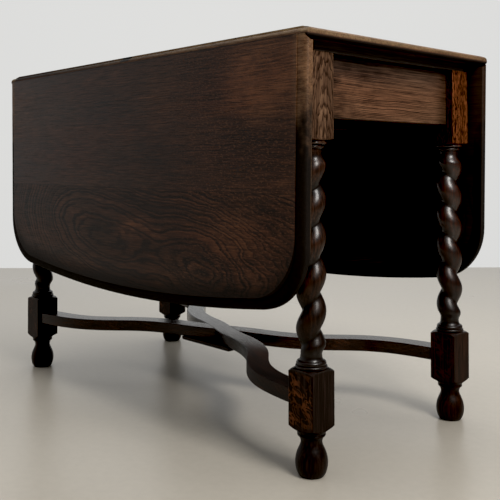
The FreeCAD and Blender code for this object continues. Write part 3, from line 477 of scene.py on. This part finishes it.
def stretcher_material(name, turn, seed):
    g = Graph(name)
    p = g.rotz(g.coord, turn)
    u, v, w = g.xyz(p)
    q = g.vec(g.add(u, seed), v, w)
    w1 = g.sub(g.noise(g.scale(q, 3.5, 9.0, 9.0), 2.0, 0.5), 0.5)
    w2 = g.sub(g.noise(g.scale(q, 9.0, 40.0, 9.0), 2.0, 0.5), 0.5)
    r = g.add(g.add(v, g.mul(w, 0.7)), g.add(g.mul(w1, 0.04), g.mul(w2, 0.006)))
    scuff = g.noise(g.scale(q, 10.0, 60.0, 60.0), 3.0, 0.65)
    shade = g.remap(scuff, 0.35, 0.62, 0.92, 0.60)
    cx, cy, _ = g.xyz(g.coord)
    dry = g.mul(g.mul(g.step(cx, 0.09, 0.27), g.sub(1.0, g.step(cy, -0.10, -0.03))), 0.62)
    return oak_finish(g, u, v, w, r, 0.0060, -0.04, coat=0.0, gloss=0.17, red=0.1, figure=0.7, shade=shade,
                      spec=0.34, relief=0.15, dull=dry)


def metal_material(name, colour, rough, metal, scale):
    g = Graph(name)
    n1 = g.noise(g.scale(g.coord, scale, scale, scale), 4.0, 0.6)
    n2 = g.noise(g.scale(g.coord, scale * 6, scale * 0.6, scale * 6), 2.0, 0.5)
    col = g.ramp(n1, [(0.3, tuple(v * 0.55 for v in colour)), (0.55, colour), (0.8, tuple(min(1, v * 1.35) for v in colour))])
    col = g.mix(g.grey(n1, [(0.0, 0.7), (0.36, 0.5), (0.45, 0.0), (1.0, 0.0)]), col, lin(70, 40, 24))
    r = g.add(g.mul(n1, 0.25), g.mul(n2, 0.15))
    return g.finish(col, g.add(r, rough - 0.2), g.bump(n2, 0.12, 0.0003), metal=metal)


M = {
    "leaf_front": leaf_material("oak_leaf_front", 1.0, 0.0),
    "leaf_back": leaf_material("oak_leaf_back", -1.0, 5.3, pale=0.15),
    "table_top": top_material(),
    "end_rail_right": rail_material("oak_end_rail_right", "Y", -0.04, 0.0, grey=0.92, red=0.03, gain=0.9, figure=1.6, fibre_w=1.9),
    "end_rail_left": rail_material("oak_end_rail_left", "Y", 0.10, 4.0),
    "side_rail_front": rail_material("oak_side_rail_front", "X", 0.0, 9.0),
    "side_rail_back": rail_material("oak_side_rail_back", "X", 0.0, 13.0),
    "pivot_rail": rail_material("oak_pivot_rail", "Y", 0.1, 17.0),
    # end bearers darkened with painted shade, with a cool cast, for the shadow under the top's overhang
    "end_bearer_right": rail_material("oak_end_bearer_right", "Y", -0.15, 21.0, gain=1.3, grey=1.2, red=-0.25, spec=0.36, shade=0.36, shade_cool=1.0),
    "end_bearer_left": rail_material("oak_end_bearer_left", "Y", -0.15, 25.0, gain=1.3, grey=1.2, red=-0.25, spec=0.36, shade=0.36, shade_cool=1.0),
    "side_bearer_front": rail_material("oak_side_bearer_front", "X", 0.0, 29.0),
    "side_bearer_back": rail_material("oak_side_bearer_back", "X", 0.0, 33.0),
    "pivot_bearer": rail_material("oak_pivot_bearer", "Y", 0.1, 37.0),
    "stretcher_front_right_to_back_left": stretcher_material("oak_stretcher_a", 24.0, 0.0),
    "stretcher_back_right_to_front_left": stretcher_material("oak_stretcher_b", -24.0, 3.7),
    "stretcher_pad": rail_material("oak_pad", "X", -0.25, 41.0, gain=0.5),
    "leg_front_right": leg_material("oak_leg_front_right", (0.05, -0.07), 0.0, -0.13, arch=0.20, grey=1.15, fleck_w=0.7, streak=1.4, warm=0.4),
    "leg_back_right": leg_material("oak_leg_back_right", (-0.08, 0.03), 2.0, -0.13, fleck_w=0.15, glow=0.10, streak=1.9, low=0.42, flame_w=2.9,
                                   polish=0.97, groove_w=0.55, inner_face_shade=0.78, satin=0.34, warm=0.75, curl=0.011),
    "leg_front_left": leg_material("oak_leg_front_left", (-0.05, -0.07), 4.0, fleck_w=0.25),
    "leg_back_left": leg_material("oak_leg_back_left", (0.07, 0.05), 6.0, fleck_w=0.3, arch=0.3),
}
iron = metal_material("hinge_iron", lin(70, 62, 54), 0.45, 0.85, 120.0)
screw = metal_material("screw_steel", lin(96, 88, 78), 0.42, 0.9, 400.0)
steel = metal_material("bolt_steel", lin(128, 124, 118), 0.40, 1.0, 150.0)
for name, ob in N.items():
    if name in M:
        mat = M[name]
    elif "screws" in name:
        mat = screw
    elif name.startswith("hinge_"):
        mat = iron
    else:
        mat = steel
    for slot in ob.material_slots:
        slot.material = mat
    if not ob.material_slots:
        ob.data.materials.append(mat)

# ---------------------------------------------------------------- floor
def floor():
    """pale floor with a straight edge well behind the object"""
    back = 3.83
    me = bpy.data.meshes.new("floor")
    f2 = Vector((fwd.x, fwd.y, 0)).normalized()
    r2 = Vector((right.x, right.y, 0)).normalized()
    e2 = Vector((EYE.x, EYE.y, 0))
    pts = [e2 + f2 * a + r2 * b for a, b in ((-4, -6), (back, -6), (back, 6), (-4, 6))]
    me.from_pydata([tuple(p) for p in pts], [], [(3, 2, 1, 0)])
    me.update()
    ob = bpy.data.objects.new("floor", me)
    scene.collection.objects.link(ob)
    if me.polygons[0].normal.z < 0:
        me.flip_normals()
    g = Graph("floor_pale")
    n1 = g.noise(g.scale(g.coord, 1.5, 1.5, 1.5), 4.0, 0.55)
    n2 = g.noise(g.scale(g.coord, 60.0, 60.0, 60.0), 3.0, 0.6)
    v = g.add(g.mul(n1, 0.7), g.mul(n2, 0.3))
    col = g.ramp(v, [(0.3, lin(157, 151, 141)), (0.7, lin(171, 165, 154))])
    me.materials.append(g.finish(col, g.remap(n1, 0.3, 0.7, 0.26, 0.34), g.bump(n2, 0.03, 0.0003), spec=0.5))


floor()

# ---------------------------------------------------------------- light
world = bpy.data.worlds.new("studio")
scene.world = world
world.use_nodes = True
wt = world.node_tree
wt.nodes.clear()
wo = wt.nodes.new("ShaderNodeOutputWorld")
bg = wt.nodes.new("ShaderNodeBackground")
tc = wt.nodes.new("ShaderNodeTexCoord")


def lobe(axis, stops):
    """grey that depends on the angle from an axis"""
    dot = wt.nodes.new("ShaderNodeVectorMath")
    dot.operation = "DOT_PRODUCT"
    wt.links.new(tc.outputs["Generated"], dot.inputs[0])
    dot.inputs[1].default_value = Vector(axis).normalized()
    mr = wt.nodes.new("ShaderNodeMapRange")
    mr.inputs["From Min"].default_value, mr.inputs["From Max"].default_value = -1.0, 1.0
    wt.links.new(dot.outputs["Value"], mr.inputs["Value"])
    rp = wt.nodes.new("ShaderNodeValToRGB")
    el = rp.color_ramp.elements
    while len(el) < len(stops):
        el.new(0.5)
    for e, (cosine, val) in zip(el, stops):
        e.position = (cosine + 1.0) / 2.0
        e.color = (val, val, val * 0.985, 1.0)
    wt.links.new(mr.outputs[0], rp.inputs[0])
    return rp.outputs[0]


def brighter(p, q):
    mx = wt.nodes.new("ShaderNodeMix")
    mx.data_type = "RGBA"
    mx.blend_type = "LIGHTEN"
    mx.inputs[0].default_value = 1.0
    wt.links.new(p, mx.inputs[6])
    wt.links.new(q, mx.inputs[7])
    return mx.outputs[2]


# bright behind the object, dimmer to the front and left, pale above
wall = lobe((fwd.x, fwd.y, 0.22), [(-1.0, 0.05), (0.55, 0.06), (0.74, 0.30), (0.88, 0.70), (1.0, 0.74)])
room = lobe((-0.90, -0.44, 0.10), [(-1.0, 0.05), (0.30, 0.12), (0.70, 0.30), (0.95, 0.54)])
roof = lobe((0.0, 0.0, 1.0), [(-1.0, 0.05), (0.25, 0.08), (0.60, 0.24), (1.0, 0.34)])
wt.links.new(brighter(brighter(wall, room), roof), bg.inputs["Color"])
bg.inputs["Strength"].default_value = 1.0
wt.links.new(bg.outputs[0], wo.inputs[0])


def area(name, loc, target, sx_, sy_, watts, colour=(1, 1, 1)):
    d = bpy.data.lights.new(name, "AREA")
    d.shape = "RECTANGLE"
    d.size, d.size_y = sx_, sy_
    d.energy = watts
    d.color = colour
    o = bpy.data.objects.new(name, d)
    o.location = loc
    o.rotation_mode = "QUATERNION"
    o.rotation_quaternion = (Vector(target) - Vector(loc)).to_track_quat("-Z", "Y")
    scene.collection.objects.link(o)
    return o


area("key", (2.12, -0.36, 2.05), (0.45, 0.0, 0.45), 0.80, 0.80, 57, (1.0, 0.97, 0.93))
area("overhead", (-0.2, 0.35, 3.2), (0, 0.1, 0), 3.6, 3.6, 108)
scene.view_settings.view_transform = "Standard"
scene.view_settings.use_curve_mapping = True
scene.view_settings.curve_mapping.black_level = (0.008, 0.008, 0.008)
